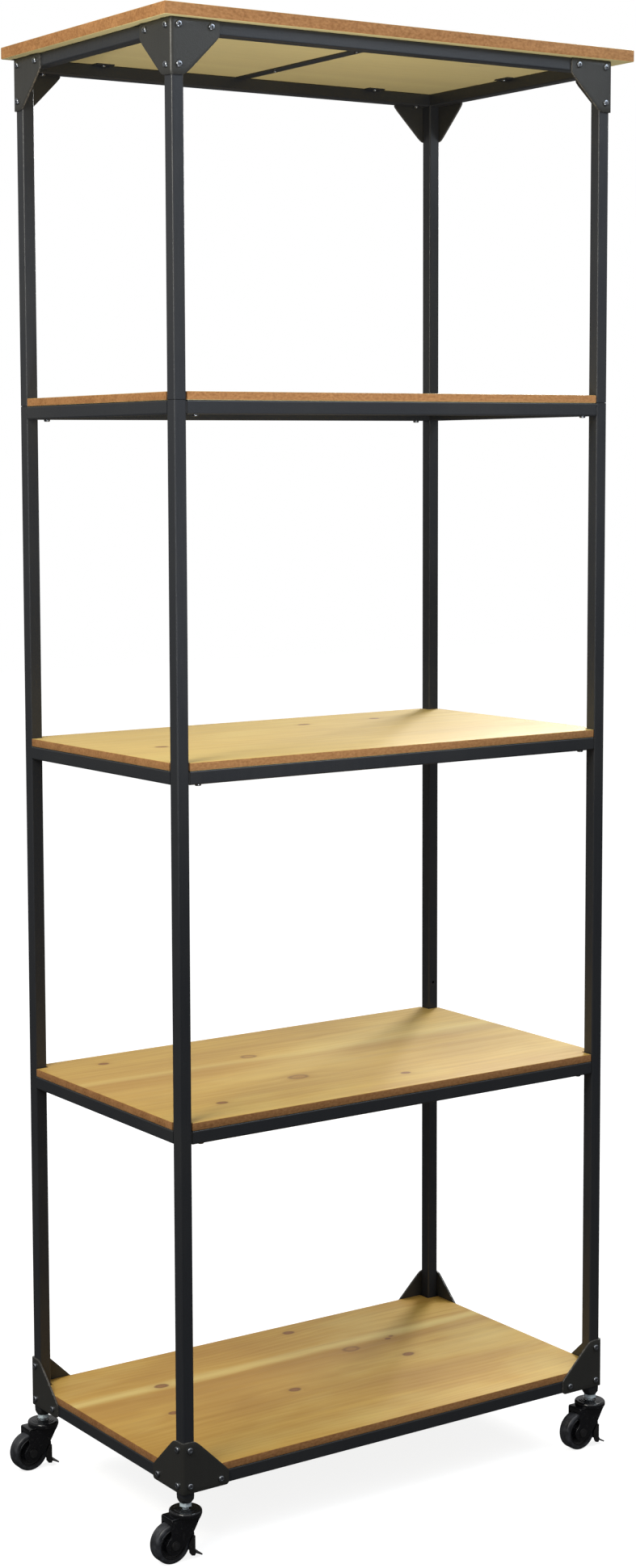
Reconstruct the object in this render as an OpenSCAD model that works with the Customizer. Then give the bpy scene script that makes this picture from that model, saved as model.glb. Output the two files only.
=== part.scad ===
// Steel and pine bookcase on swivel casters.
// Origin on the floor under the middle of the steel frame, +X to the right, +Y to the back, +Z up.

/* [Frame] */
// Width over the posts
frame_w = 800; // [500:5:1200]
// Depth over the posts
frame_d = 440; // [280:5:600]
// Side of the square tube of the posts and rails
tube = 20; // [16:1:30]
// Wall of the square tube
tube_wall = 1.2; // [0.8:0.1:2]
// Outer corner radius of the square tube
tube_round = 2.4; // [1.5:0.1:4]
// How far the posts reach below the bottom rails
post_below = 8; // [6:1:30]

/* [Levels] */
// Rail top to rail top, bottom shelf to second shelf
bay_1 = 515; // [200:1:600]
// Rail top to rail top, second shelf to third shelf
bay_2 = 521; // [200:1:600]
// Rail top to rail top, third shelf to fourth shelf
bay_3 = 523; // [200:1:600]
// Rail top to rail top, fourth shelf to the top board
bay_4 = 523; // [220:1:600]

/* [Boards] */
// Thickness of the four shelf boards
shelf_t = 12; // [9:1:25]
// Thickness of the top board
top_t = 18; // [12:1:30]
// Overhang of the top board at each side of the frame
top_over_side = 28.5; // [5:0.5:60]
// Overhang of the top board at the front and at the back
top_over_front = 12.5; // [5:0.5:60]
// How far the top board sits to the right of the frame's middle
top_set_right = 10.5; // [-15:0.5:15]
// Clearance between a post and the notch in a shelf board
notch_gap = 2; // [0.5:0.5:4]
// Depth that a board screw goes into its board
board_bite = 8; // [4:1:9]

/* [Rail joints] */
// Gap between a post and the end of a long rail
rail_gap = 2; // [1:0.5:4]
// Length of the stub that a long rail slides over
stub_len = 38; // [25:1:39]
// Clearance of a stub or a sleeve inside its tube, all round
tube_fit = 0.2; // [0.1:0.05:0.4]
// Thread size of the screw that locks a long rail to its stub
lock_d = 5; // [4:1:6]
// Length of the sleeve that joins an upper post to a lower post
sleeve_len = 120; // [60:5:160]
// Open seam between the lower post and the upper post
post_seam = 0.8; // [0.2:0.1:1.5]

/* [Board fixings] */
// Width of the flat crossbar under each board
bar_w = 22; // [15:1:40]
// Thickness of the crossbars and of the board tabs
bar_t = 2; // [1.5:0.5:4]
// Length of a board tab along its rail
tab_len = 32; // [20:1:50]
// How far a board tab reaches in from its rail
tab_reach = 13; // [10:1:20]
// Distance of the long-rail tabs from the middle
tab_x = 260; // [100:5:200]
// Distance of the crossbar screws from the middle
bar_screw_y = 107; // [40:1:120]
// Diameter of the board screws
board_screw_d = 4; // [3:0.5:5]

/* [Corner brackets] */
// Thickness of the bracket sheet
bracket_t = 3; // [1.5:0.5:4]
// Outer radius of the fold
fold_r = 4.5; // [4.2:0.1:8]
// Radius of the wing corners
wing_round = 5; // [2:1:8]
// Gap between a top bracket and the board over it
bracket_gap = 1; // [0.5:0.5:3]
// Distance between the corner screw and the two outer screws
screw_pitch = 54; // [36:1:80]
// Sheet beyond the outer screws, to the far ends of the wings
end_land = 14; // [10:1:25]
// Sheet between the rail screws and the sloping edge
slope_land = 13; // [10:1:25]
// Sheet between the post screws and the sloping edge
side_land = 11; // [9:1:25]
// Thread size of the bracket screws
screw_d = 5; // [4:0.5:6]
// Length of the bracket screws under the head
screw_len = 8; // [6:1:9]
// Radial clearance of screws and pins in their holes
screw_fit = 0.05; // [0.02:0.01:0.1]

/* [Casters] */
// Wheel diameter
wheel_d = 60; // [50:1:80]
// Wheel width
wheel_w = 22; // [16:1:30]
// Distance of the axle behind the swivel stem
trail = 27; // [20:1:40]
// Gap between the wheel and the fork's cover
cover_gap = 6.5; // [3:0.5:15]
// Thickness of the stem nut
nut_t = 6; // [4:1:10]
// Width of the stem nut across its flats
nut_af = 17; // [15:1:19]
// Diameter of the threaded stem
stem_d = 10; // [8:1:12]
// Height of the foot plug below the post
plug_h = 8; // [5:1:15]
// Length of the foot plug inside the post
plug_in = 14; // [10:1:15]
// Diameter of the swivel head
head_d = 49; // [38:1:60]
// Height of the swivel head above the fork's cover
head_h = 8; // [5:1:14]
// Gap between the swivel head and the stem nut
head_gap = 3; // [1:0.5:6]
// Sheet thickness of the fork
fork_t = 2.5; // [2:0.5:4]
// How far the fork's cover reaches behind the stem
cover_back = 33; // [28:1:40]
// Radius of the fork leg round the axle
leg_round = 15; // [12:0.5:18]
// Gap between the wheel and each fork leg
wheel_gap = 1; // [0.5:0.5:3]
// Axle diameter
axle_d = 8; // [6:1:10]
// Diameter of the pin that the brake pedal turns on
pin_d = 4; // [3:0.5:5]
// Gap between the tread and the brake plate in front of it
brake_gap = 2.5; // [2:0.5:5]
// Sheet thickness of the brake plate and pedal
pedal_t = 2; // [1.5:0.5:3]
// Reach of the pedal from the brake plate
pedal_len = 19; // [12:1:30]

/* [Hidden] */
$fn = 48;
half_w = frame_w / 2;
half_d = frame_d / 2;
head_floor = wheel_d + cover_gap;
fork_top = head_floor + fork_t;
head_top = fork_top + head_h;
caster_h = head_top + head_gap;
post_x = half_w - tube / 2;
post_y = half_d - tube / 2;
inner_x = half_w - tube;
inner_y = half_d - tube;
plug_z = caster_h + nut_t;
post_z = plug_z + plug_h;
rail_1 = post_z + post_below + tube;
rail_2 = rail_1 + bay_1;
rail_3 = rail_2 + bay_2;
rail_4 = rail_3 + bay_3;
rail_top = rail_4 + bay_4;
rail_tops = [rail_1, rail_2, rail_3, rail_4, rail_top];
board_ts = [shelf_t, shelf_t, shelf_t, shelf_t, top_t];
inner_side = tube - 2 * tube_wall;
sleeve_side = inner_side - 2 * tube_fit;
sleeve_wall = 1.5;
inner_round = max(tube_round - tube_wall, 0.4);
corner_inset = bracket_t + tube / 2;
wing_len = corner_inset + screw_pitch + end_land;
wing_h = tube / 2 - bracket_gap + screw_pitch + end_land;
wing_end = tube / 2 - bracket_gap + slope_land;
wing_foot = corner_inset + side_land;
axle_z = wheel_d / 2;
fork_in = wheel_w / 2 + wheel_gap;
fork_out = fork_in + fork_t;
head_lip = 2.2;
barrel_r = pin_d / 2 + 1.3;
pin_reach = wheel_d / 2 + barrel_r + 1.7;
pin_turn = 32;
pin_x = pin_reach * cos(pin_turn) - trail;
pin_z = axle_z + pin_reach * sin(pin_turn);
pin_lobe = 4.5;
plate_x = wheel_d / 2 - trail + brake_gap;
washer_gap = 0.3;
washer_t = 2;
stem_foot = head_floor - washer_gap - washer_t;
stem_tip = post_z + plug_in - 5;
hole_rise = 57;
hole_d = 4.5;
SIDES = [[-1, -1], [1, -1], [-1, 1], [1, 1]];

// ---- plain shapes ----

// Points of a quarter turn of radius r about c, starting at angle a
function arc(c, r, a, n = 6, sweep = 90) =
    [for (i = [0:n]) c + r * [cos(a + sweep * i / n), sin(a + sweep * i / n)]];

// Square of side s with exact round corners, centred
module round_square(s, r) {
    square([s - 2 * r, s], center = true);
    square([s, s - 2 * r], center = true);
    for (p = SIDES)
        translate(p * (s / 2 - r))
            circle(r = r);
}

module tube_section() {
    difference() {
        round_square(tube, tube_round);
        round_square(inner_side, inner_round);
    }
}

// Square tube along +Z from z0 to z1
module post_tube(z0, z1) {
    translate([0, 0, z0])
        linear_extrude(z1 - z0)
            tube_section();
}

// Square tube along X, top face at z
module tube_x(x0, x1, y, z) {
    translate([x0, y, z - tube / 2])
        rotate([90, 0, 90])
            linear_extrude(x1 - x0)
                tube_section();
}

// Square tube along Y, top face at z
module tube_y(y0, y1, x, z) {
    translate([x, y1, z - tube / 2])
        rotate([90, 0, 0])
            linear_extrude(y1 - y0)
                tube_section();
}

// Pan-head screw along +X, with the head's underside at the origin
module pan_screw(d, len) {
    head_r = d * 0.95;
    rotate([0, 90, 0])
        cylinder(d = d, h = len);
    rotate([0, -90, 0])
        rotate_extrude()
            polygon(concat([[0, 0], [head_r, 0], [head_r, d * 0.3]],
                arc([head_r - d * 0.3, d * 0.3], d * 0.3, 0), [[0, d * 0.6]]));
}

// ---- corner brackets ----

// Outline of one wing in its own plane: s runs out from the fold, t down from the long edge
module wing_outline() {
    r = wing_round;
    slope = atan2(wing_h - wing_end, wing_len - wing_foot);
    polygon(concat(
        [[fold_r, 0]],
        arc([wing_len - r, r], r, -90),
        arc([wing_len - r, wing_end - r * tan((90 - slope) / 2)], r, 0, 4, 90 - slope),
        arc([wing_foot - r * tan(slope / 2), wing_h - r], r, 90 - slope, 4, slope),
        [[fold_r, wing_h]]));
}

// Two wings folded round a corner at the origin, wings along +X and +Y, long edge at z = 0, hanging down
module folded_corner() {
    translate([0, bracket_t, 0])
        rotate([90, 0, 0])
            mirror([0, 1, 0])
                linear_extrude(bracket_t)
                    wing_outline();
    mirror([1, -1, 0])
        translate([0, bracket_t, 0])
            rotate([90, 0, 0])
                mirror([0, 1, 0])
                    linear_extrude(bracket_t)
                        wing_outline();
    translate([fold_r, fold_r, -wing_h])
        rotate([0, 0, 180])
            rotate_extrude(angle = 90)
                translate([fold_r - bracket_t, 0])
                    square([bracket_t, wing_h]);
}

// Screw places of one bracket seen from the fold: [distance out, distance down]
wing_screws = [
    [corner_inset, tube / 2],
    [corner_inset + screw_pitch, tube / 2],
    [corner_inset, tube / 2 + screw_pitch]
];

// Runs its children at each screw of a bracket, pointing inwards along +X, for both wings
module at_wing_screws(edge) {
    for (p = wing_screws)
        translate([p[0], 0, edge - p[1]])
            rotate([0, 0, 90])
                children();
    for (p = wing_screws)
        translate([0, p[0], edge - p[1]])
            children();
}

// Puts a part made for the front left corner at corner c
module to_corner(c) {
    mirror([c[0] > 0 ? 1 : 0, 0, 0])
        mirror([0, c[1] > 0 ? 1 : 0, 0])
            translate([-half_w - bracket_t, -half_d - bracket_t, 0])
                children();
}

// Puts a part made for a top bracket at the top, or upside down at the bottom
module to_level(top) {
    if (top)
        translate([0, 0, rail_top])
            children();
    else
        translate([0, 0, rail_1 - tube])
            mirror([0, 0, 1])
                children();
}

module bracket(c, top) {
    gap = top ? bracket_gap : -bracket_gap;
    color([0.22, 0.22, 0.23])
        to_corner(c)
            to_level(top)
                difference() {
                    translate([0, 0, -gap])
                        folded_corner();
                    at_wing_screws(0)
                        rotate([0, 90, 0])
                            cylinder(r = screw_d / 2 + screw_fit, h = 3 * bracket_t, center = true);
                }
}

// Threaded holes for the bracket screws of a corner, through the first wall of the tubes
module bracket_holes(c, top) {
    to_corner(c)
        to_level(top)
            at_wing_screws(0)
                rotate([0, 90, 0])
                    cylinder(r = screw_d / 2 + screw_fit, h = bracket_t + tube / 2);
}

module bracket_screws() {
    color([0.8, 0.8, 0.82])
        for (c = SIDES, top = [true, false])
            to_corner(c)
                to_level(top)
                    at_wing_screws(0)
                        pan_screw(screw_d, screw_len);
}

// ---- posts ----

// Post of one corner between two heights
module post(c, z0, z1) {
    color([0.2, 0.2, 0.22])
        difference() {
            translate([c[0] * post_x, c[1] * post_y, 0])
                post_tube(z0, z1);
            bracket_holes(c, true);
            bracket_holes(c, false);
        }
}

module lower_post(c) {
    post(c, post_z, rail_4);
}

// Lower post with a small hole in its front face, above the second shelf
module drilled_post(c) {
    difference() {
        lower_post(c);
        translate([c[0] * post_x, c[1] * post_y, rail_2 + hole_rise])
            rotate([90, 0, 0])
                cylinder(d = hole_d, h = tube);
    }
}

module upper_post(c) {
    post(c, rail_4 + post_seam, rail_top);
}

// Sleeves inside the posts, half in the lower post and half in the upper one
module post_sleeves() {
    color([0.1, 0.1, 0.11])
        for (c = SIDES)
            translate([c[0] * post_x, c[1] * post_y, rail_4 - sleeve_len / 2])
                linear_extrude(sleeve_len)
                    difference() {
                        round_square(sleeve_side, inner_round);
                        round_square(sleeve_side - 2 * sleeve_wall, 0.4);
                    }
}

// ---- rails ----

module side_rails(level) {
    z = rail_tops[level];
    color([0.2, 0.2, 0.22])
        difference() {
            for (s = [-1, 1])
                tube_y(-inner_y, inner_y, s * post_x, z);
            if (level == 0)
                for (c = SIDES)
                    bracket_holes(c, false);
            if (level == 4)
                for (c = SIDES)
                    bracket_holes(c, true);
        }
}

// Distance of a lock screw from the middle of the frame
lock_x = inner_x - stub_len / 2 - rail_gap;

module lock_places(level) {
    for (c = SIDES)
        translate([c[0] * lock_x, c[1] * post_y, rail_tops[level] - tube])
            children();
}

module long_rails(level) {
    z = rail_tops[level];
    color([0.2, 0.2, 0.22])
        difference() {
            for (s = [-1, 1])
                tube_x(rail_gap - inner_x, inner_x - rail_gap, s * post_y, z);
            lock_places(level)
                cylinder(r = lock_d / 2 + screw_fit, h = 3 * tube_wall, center = true);
            if (level == 0)
                for (c = SIDES)
                    bracket_holes(c, false);
            if (level == 4)
                for (c = SIDES)
                    bracket_holes(c, true);
        }
}

// Square stubs welded to the posts, which the long rails slide over
module rail_stubs() {
    color([0.1, 0.1, 0.11])
        for (level = [0:4], c = SIDES)
            difference() {
                translate([c[0] * (inner_x - stub_len / 2), c[1] * post_y, rail_tops[level] - tube / 2])
                    rotate([90, 0, 90])
                        linear_extrude(stub_len, center = true)
                            difference() {
                                round_square(sleeve_side, inner_round);
                                round_square(sleeve_side - 2 * sleeve_wall, 0.4);
                            }
                translate([c[0] * lock_x, c[1] * post_y, rail_tops[level] - tube])
                    cylinder(r = lock_d / 2 + screw_fit, h = 4 * sleeve_wall);
                if (level == 0 || level == 4)
                    bracket_holes(c, level == 4);
            }
}

module rail_lock_screws() {
    color([0.8, 0.8, 0.82])
        for (level = [0:4])
            lock_places(level)
                rotate([0, -90, 0])
                    pan_screw(lock_d, tube_wall + sleeve_wall + 2);
}

// ---- boards and what holds them ----

module shelf_board(level) {
    notch = tube + notch_gap;
    color([0.8, 0.67, 0.42])
        translate([0, 0, rail_tops[level]])
            difference() {
                translate([-half_w, -half_d, 0])
                    cube([frame_w, frame_d, shelf_t]);
                for (c = SIDES)
                    translate([c[0] * (half_w - notch / 2 + 1), c[1] * (half_d - notch / 2 + 1), 0])
                        cube([notch + 2, notch + 2, 3 * shelf_t], center = true);
                board_screw_holes();
            }
}

module top_board() {
    color([0.8, 0.67, 0.42])
        translate([0, 0, rail_top])
            difference() {
                translate([top_set_right - half_w - top_over_side, -half_d - top_over_front, 0])
                    cube([frame_w + 2 * top_over_side, frame_d + 2 * top_over_front, top_t]);
                board_screw_holes();
            }
}

tab_mid = inner_y - tab_reach / 2;
side_tab_mid = inner_x - tab_reach / 2;
board_screw_places = concat(
    [for (c = SIDES) [c[0] * tab_x, c[1] * tab_mid]],
    [for (s = [-1, 1]) [s * side_tab_mid, 0]],
    [for (s = [-1, 1]) [0, s * bar_screw_y]]);

module board_screw_holes() {
    for (p = board_screw_places)
        translate([p[0], p[1], -1])
            cylinder(r = board_screw_d / 2 + screw_fit, h = board_bite + 1.5);
}

module board_screws() {
    color([0.8, 0.8, 0.82])
        for (z = rail_tops, p = board_screw_places)
            translate([p[0], p[1], z - bar_t])
                rotate([0, -90, 0])
                    pan_screw(board_screw_d, board_bite + bar_t);
}

module bar_hole() {
    cylinder(r = board_screw_d / 2 + screw_fit, h = 3 * bar_t, center = true);
}

// Flat bars across the middle of each level, level with the rail tops
module crossbars() {
    color([0.2, 0.2, 0.22])
        for (z = rail_tops)
            translate([0, 0, z - bar_t / 2])
                difference() {
                    cube([bar_w, 2 * inner_y, bar_t], center = true);
                    for (s = [-1, 1])
                        translate([0, s * bar_screw_y, 0])
                            bar_hole();
                }
}

// Tabs welded to the inner top edge of the rails
module board_tabs() {
    color([0.2, 0.2, 0.22])
        for (z = rail_tops)
            translate([0, 0, z - bar_t / 2]) {
                for (c = SIDES)
                    translate([c[0] * tab_x, c[1] * tab_mid, 0])
                        difference() {
                            cube([tab_len, tab_reach, bar_t], center = true);
                            bar_hole();
                        }
                for (s = [-1, 1])
                    translate([s * side_tab_mid, 0, 0])
                        difference() {
                            cube([tab_reach, tab_len, bar_t], center = true);
                            bar_hole();
                        }
            }
}

// ---- foot plugs and stems ----

module post_plugs() {
    color([0.06, 0.06, 0.07])
        for (c = SIDES)
            translate([c[0] * post_x, c[1] * post_y, 0])
                difference() {
                    union() {
                        intersection() {
                            translate([0, 0, plug_z])
                                linear_extrude(plug_h)
                                    round_square(tube - 0.4, tube_round);
                            translate([0, 0, plug_z])
                                cylinder(r1 = tube * 0.48, r2 = tube * 0.75, h = plug_h);
                        }
                        translate([0, 0, post_z - 0.5])
                            linear_extrude(plug_in + 0.5)
                                round_square(sleeve_side, inner_round);
                    }
                    translate([0, 0, plug_z - 1])
                        cylinder(r = stem_d / 2 + screw_fit, h = plug_h + plug_in - 3);
                    translate([-c[0] * post_x, -c[1] * post_y, 0])
                        bracket_holes(c, false);
                }
}

module caster_stems() {
    color([0.75, 0.78, 0.82])
        for (c = SIDES)
            translate([c[0] * post_x, c[1] * post_y, stem_foot]) {
                cylinder(d = stem_d, h = stem_tip - stem_foot);
                cylinder(d = stem_d + 6, h = washer_t);
            }
}

module stem_nuts() {
    color([0.75, 0.8, 0.84])
        for (c = SIDES)
            translate([c[0] * post_x, c[1] * post_y, caster_h])
                difference() {
                    intersection() {
                        cylinder(d = nut_af / cos(30), h = nut_t, $fn = 6);
                        cylinder(r1 = nut_af / 2 + nut_t * 0.25, r2 = nut_af / 2 + nut_t * 1.5, h = nut_t);
                    }
                    translate([0, 0, -1])
                        cylinder(r = stem_d / 2 + screw_fit, h = nut_t + 2);
                }
}

// ---- casters, made at the origin with the wheel trailing towards -X ----

module to_caster(c) {
    translate([c[0] * post_x, c[1] * post_y, 0])
        children();
}

// Side view of a fork leg
module leg_outline() {
    neck_z = axle_z + 14;
    front_x = wheel_d / 2 - trail + 1.5;
    front_z = axle_z + 12.5;
    difference() {
        union() {
            polygon([
                [-cover_back, fork_top],
                [-cover_back, neck_z],
                [-trail - leg_round + 0.2, axle_z + 2],
                [-trail, axle_z - leg_round / 2],
                [-trail + leg_round * 0.8, axle_z - leg_round * 0.6],
                [front_x, front_z],
                [head_d / 2 - 6, fork_top - 2],
                [head_d / 2 - 6, fork_top]
            ]);
            translate([-trail, axle_z])
                circle(r = leg_round);
            translate([pin_x, pin_z])
                circle(r = pin_lobe);
        }
        translate([-trail, axle_z])
            circle(r = axle_d / 2 + screw_fit);
        translate([pin_x, pin_z])
            circle(r = pin_d / 2 + screw_fit);
    }
}

module fork_leg(side) {
    translate([0, side > 0 ? fork_out : -fork_in, 0])
        rotate([90, 0, 0])
            linear_extrude(fork_t)
                leg_outline();
}

// Ridged swivel head round the stem
module swivel_head() {
    bore = stem_d / 2 + screw_fit;
    rim = head_d / 2;
    rotate_extrude()
        polygon(concat(
            [[bore, head_top - 2], [bore + 3, head_top - 2], [bore + 4, head_top]],
            [[rim * 0.6, head_top], [rim * 0.64, head_top - 1.5], [rim * 0.72, head_top - 1.5]],
            [[rim * 0.76, head_top - 0.8], [rim * 0.86, head_top - 1.2]],
            arc([rim - 3.5, head_top - 5], 3.5, 70, 6, -70),
            [[rim, fork_top], [rim - head_lip, head_floor], [bore, head_floor]]));
}

module fork(c) {
    color([0.07, 0.07, 0.08])
        to_caster(c) {
            difference() {
                union() {
                    fork_leg(-1);
                    fork_leg(1);
                    translate([-cover_back, -fork_out, head_floor])
                        cube([cover_back + head_d / 2 - 6, 2 * fork_out, fork_t]);
                    translate([-cover_back, -fork_out, fork_top - 9])
                        cube([fork_t, 2 * fork_out, 9]);
                }
                cylinder(r = head_d / 4, h = 2 * head_top);
            }
            swivel_head();
        }
}

module axle(c) {
    pin_long = 2 * fork_out + 2;
    cap_t = 2.5;
    color([0.1, 0.1, 0.11])
        to_caster(c) {
            translate([-trail, 0, axle_z])
                rotate([90, 0, 0])
                    cylinder(d = axle_d, h = pin_long, center = true);
            for (s = [-1, 1])
                translate([-trail, s * (fork_out + cap_t / 2), axle_z])
                    rotate([90, 0, 0])
                        cylinder(d = axle_d + 5, h = cap_t, center = true);
            translate([pin_x, 0, pin_z])
                rotate([90, 0, 0])
                    cylinder(d = pin_d, h = pin_long, center = true);
        }
}

// Wheel with round shoulders, a dished side and a raised hub
module wheel(c) {
    hub_r = 10;
    rim_r = wheel_d / 2 - 8;
    half = wheel_w / 2;
    color([0.08, 0.08, 0.09])
        to_caster(c)
            translate([-trail, 0, axle_z])
                rotate([90, 0, 0])
                    rotate_extrude()
                        polygon(concat(
                            [[axle_d / 2 + screw_fit, -half], [hub_r, -half], [hub_r + 1.5, 3 - half]],
                            [[rim_r - 2, 3 - half], [rim_r, 0.6 - half]],
                            arc([wheel_d / 2 - 4, 4.6 - half], 4, -90),
                            arc([wheel_d / 2 - 4, half - 4.6], 4, 0),
                            [[rim_r, half - 0.6], [rim_r - 2, half - 3]],
                            [[hub_r + 1.5, half - 3], [hub_r, half], [axle_d / 2 + screw_fit, half]]));
}

// Side view of the flanges of the brake plate
module brake_flange() {
    foot_z = axle_z - 23;
    back_x = wheel_d / 2 - trail + 1;
    polygon([
        [pin_x - 1, pin_z - 2],
        [back_x, pin_z - 8],
        [back_x, axle_z - 14],
        [back_x - 2, foot_z + 1],
        [plate_x + 1, foot_z],
        [plate_x + pedal_t + 2, axle_z - 18],
        [plate_x + pedal_t, axle_z - 14],
        [plate_x + pedal_t, pin_z - 8],
        [pin_x + barrel_r - 0.5, pin_z - 1]
    ]);
}

// Side view of the cheeks that close the brake plate beside the tread, clear of the legs of the fork
module brake_cheek() {
    polygon([
        [plate_x - 2, axle_z + 7],
        [plate_x - 8.5, axle_z - 4],
        [plate_x - 8, axle_z - 17],
        [plate_x - 4, axle_z - 22],
        [plate_x + 1, axle_z - 23],
        [plate_x + pedal_t + 2, axle_z - 18],
        [plate_x + pedal_t, axle_z - 14],
        [plate_x + pedal_t, axle_z + 7]
    ]);
}

// Brake plate that hangs from its pin in front of the tread, with a shoe behind it and a pedal below
module brake(c) {
    plate_w = 2 * fork_in - 0.8;
    cheek_w = 2 * fork_out;
    cheek_t = 1.5;
    flange_t = 1.5;
    pedal_drop = 26;
    pedal_z = axle_z - 17;
    shoe_w = 13;
    shoe_gap = 1.2;
    shoe_x = wheel_d / 2 - trail + shoe_gap;
    color([0.1, 0.1, 0.11])
        to_caster(c)
            difference() {
                union() {
                    translate([pin_x, 0, pin_z])
                        rotate([90, 0, 0])
                            cylinder(r = barrel_r, h = plate_w, center = true);
                    for (y = [flange_t - plate_w / 2, plate_w / 2])
                        translate([0, y, 0])
                            rotate([90, 0, 0])
                                linear_extrude(flange_t)
                                    brake_flange();
                    for (y = [cheek_t - cheek_w / 2, cheek_w / 2])
                        translate([0, y, 0])
                            rotate([90, 0, 0])
                                linear_extrude(cheek_t)
                                    brake_cheek();
                    translate([plate_x, -cheek_w / 2, axle_z - 18])
                        cube([pedal_t, cheek_w, 25]);
                    translate([plate_x, -plate_w / 2, axle_z - 18])
                        cube([pedal_t, plate_w, pin_z - axle_z + 10]);
                    translate([pin_x, -plate_w / 2, pin_z - 9])
                        cube([plate_x - pin_x + 1, plate_w, pedal_t]);
                    translate([shoe_x, -shoe_w / 2, axle_z - 5])
                        cube([plate_x - shoe_x + 1, shoe_w, 5]);
                    translate([plate_x, 0, pedal_z])
                        rotate([0, pedal_drop, 0])
                            translate([0, 1 - plate_w / 2, -pedal_t])
                                cube([pedal_len, plate_w - 2, pedal_t]);
                }
                translate([pin_x, 0, pin_z])
                    rotate([90, 0, 0])
                        cylinder(r = pin_d / 2 + screw_fit, h = 2 * plate_w, center = true);
            }
}

lower_post(SIDES[0]);  // front_left_lower_post
lower_post(SIDES[1]);  // front_right_lower_post
lower_post(SIDES[2]);  // back_left_lower_post
drilled_post(SIDES[3]);  // back_right_lower_post
upper_post(SIDES[0]);  // front_left_upper_post
upper_post(SIDES[1]);  // front_right_upper_post
upper_post(SIDES[2]);  // back_left_upper_post
upper_post(SIDES[3]);  // back_right_upper_post
side_rails(0);  // bottom_side_rails
side_rails(1);  // second_side_rails
side_rails(2);  // third_side_rails
side_rails(3);  // fourth_side_rails
side_rails(4);  // top_side_rails
long_rails(0);  // bottom_long_rails
long_rails(1);  // second_long_rails
long_rails(2);  // third_long_rails
long_rails(3);  // fourth_long_rails
long_rails(4);  // top_long_rails
shelf_board(0);  // bottom_shelf_board
shelf_board(1);  // second_shelf_board
shelf_board(2);  // third_shelf_board
shelf_board(3);  // fourth_shelf_board
top_board();
bracket(SIDES[0], true);  // front_left_top_bracket
bracket(SIDES[1], true);  // front_right_top_bracket
bracket(SIDES[2], true);  // back_left_top_bracket
bracket(SIDES[3], true);  // back_right_top_bracket
bracket(SIDES[0], false);  // front_left_foot_bracket
bracket(SIDES[1], false);  // front_right_foot_bracket
bracket(SIDES[2], false);  // back_left_foot_bracket
bracket(SIDES[3], false);  // back_right_foot_bracket
post_sleeves();
rail_stubs();
rail_lock_screws();
crossbars();
board_tabs();
board_screws();
bracket_screws();
post_plugs();
caster_stems();
stem_nuts();
fork(SIDES[0]);  // front_left_fork
fork(SIDES[1]);  // front_right_fork
fork(SIDES[2]);  // back_left_fork
fork(SIDES[3]);  // back_right_fork
axle(SIDES[0]);  // front_left_axle
axle(SIDES[1]);  // front_right_axle
axle(SIDES[2]);  // back_left_axle
axle(SIDES[3]);  // back_right_axle
wheel(SIDES[0]);  // front_left_wheel
wheel(SIDES[1]);  // front_right_wheel
wheel(SIDES[2]);  // back_left_wheel
wheel(SIDES[3]);  // back_right_wheel
brake(SIDES[0]);  // front_left_brake
brake(SIDES[1]);  // front_right_brake
brake(SIDES[2]);  // back_left_brake
brake(SIDES[3]);  // back_right_brake
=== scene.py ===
import math

import bmesh
import bpy
import numpy as np
from mathutils import Matrix, Vector


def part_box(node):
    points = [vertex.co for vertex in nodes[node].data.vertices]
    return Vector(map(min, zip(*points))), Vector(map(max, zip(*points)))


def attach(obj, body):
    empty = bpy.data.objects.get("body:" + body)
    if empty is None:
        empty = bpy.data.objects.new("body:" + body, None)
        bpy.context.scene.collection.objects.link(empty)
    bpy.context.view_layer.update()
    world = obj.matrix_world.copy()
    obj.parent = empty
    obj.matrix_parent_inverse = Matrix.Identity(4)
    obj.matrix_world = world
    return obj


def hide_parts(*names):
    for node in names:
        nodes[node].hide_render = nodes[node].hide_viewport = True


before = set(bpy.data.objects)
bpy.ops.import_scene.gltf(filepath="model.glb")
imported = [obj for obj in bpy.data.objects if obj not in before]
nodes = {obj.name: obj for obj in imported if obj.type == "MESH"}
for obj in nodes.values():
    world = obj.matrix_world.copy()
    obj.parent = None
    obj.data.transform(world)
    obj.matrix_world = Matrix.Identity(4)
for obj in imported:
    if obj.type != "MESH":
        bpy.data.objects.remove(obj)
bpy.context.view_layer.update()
mm = 0.001

# the four corners of the bookcase, with the signs of their x and y
corners = {"front_left": (-1, -1), "front_right": (1, -1), "back_left": (-1, 1), "back_right": (1, 1)}
levels = ["bottom", "second", "third", "fourth", "top"]
print("stage: frame loaded,", len(nodes), "nodes")


def tagOf(key):
    # "front_left" as "FrontLeft"
    return key.replace("_", " ").title().replace(" ", "")


def gridFaces(rows, cols, closeRows=False, closeCols=False):
    # quad (i, j) joins grid point (i, j) to its next neighbours; point number = i * cols + j
    i = np.arange(rows if closeRows else rows - 1)[:, None]
    j = np.arange(cols if closeCols else cols - 1)[None, :]
    nextI, nextJ = (i + 1) % rows, (j + 1) % cols
    quads = np.stack([i * cols + j, nextI * cols + j, nextI * cols + nextJ, i * cols + nextJ], -1)
    return quads.reshape(-1, 4).tolist()


def joined(parts):
    # stacks several (points, faces) shapes into one, each face list shifted by the points before it
    points, faces, start = [], [], 0
    for pts, fcs in parts:
        pts = np.asarray(pts, float).reshape(-1, 3)
        points.append(pts)
        faces += [[k + start for k in f] for f in fcs]
        start += len(pts)
    return np.concatenate(points), faces


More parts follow.
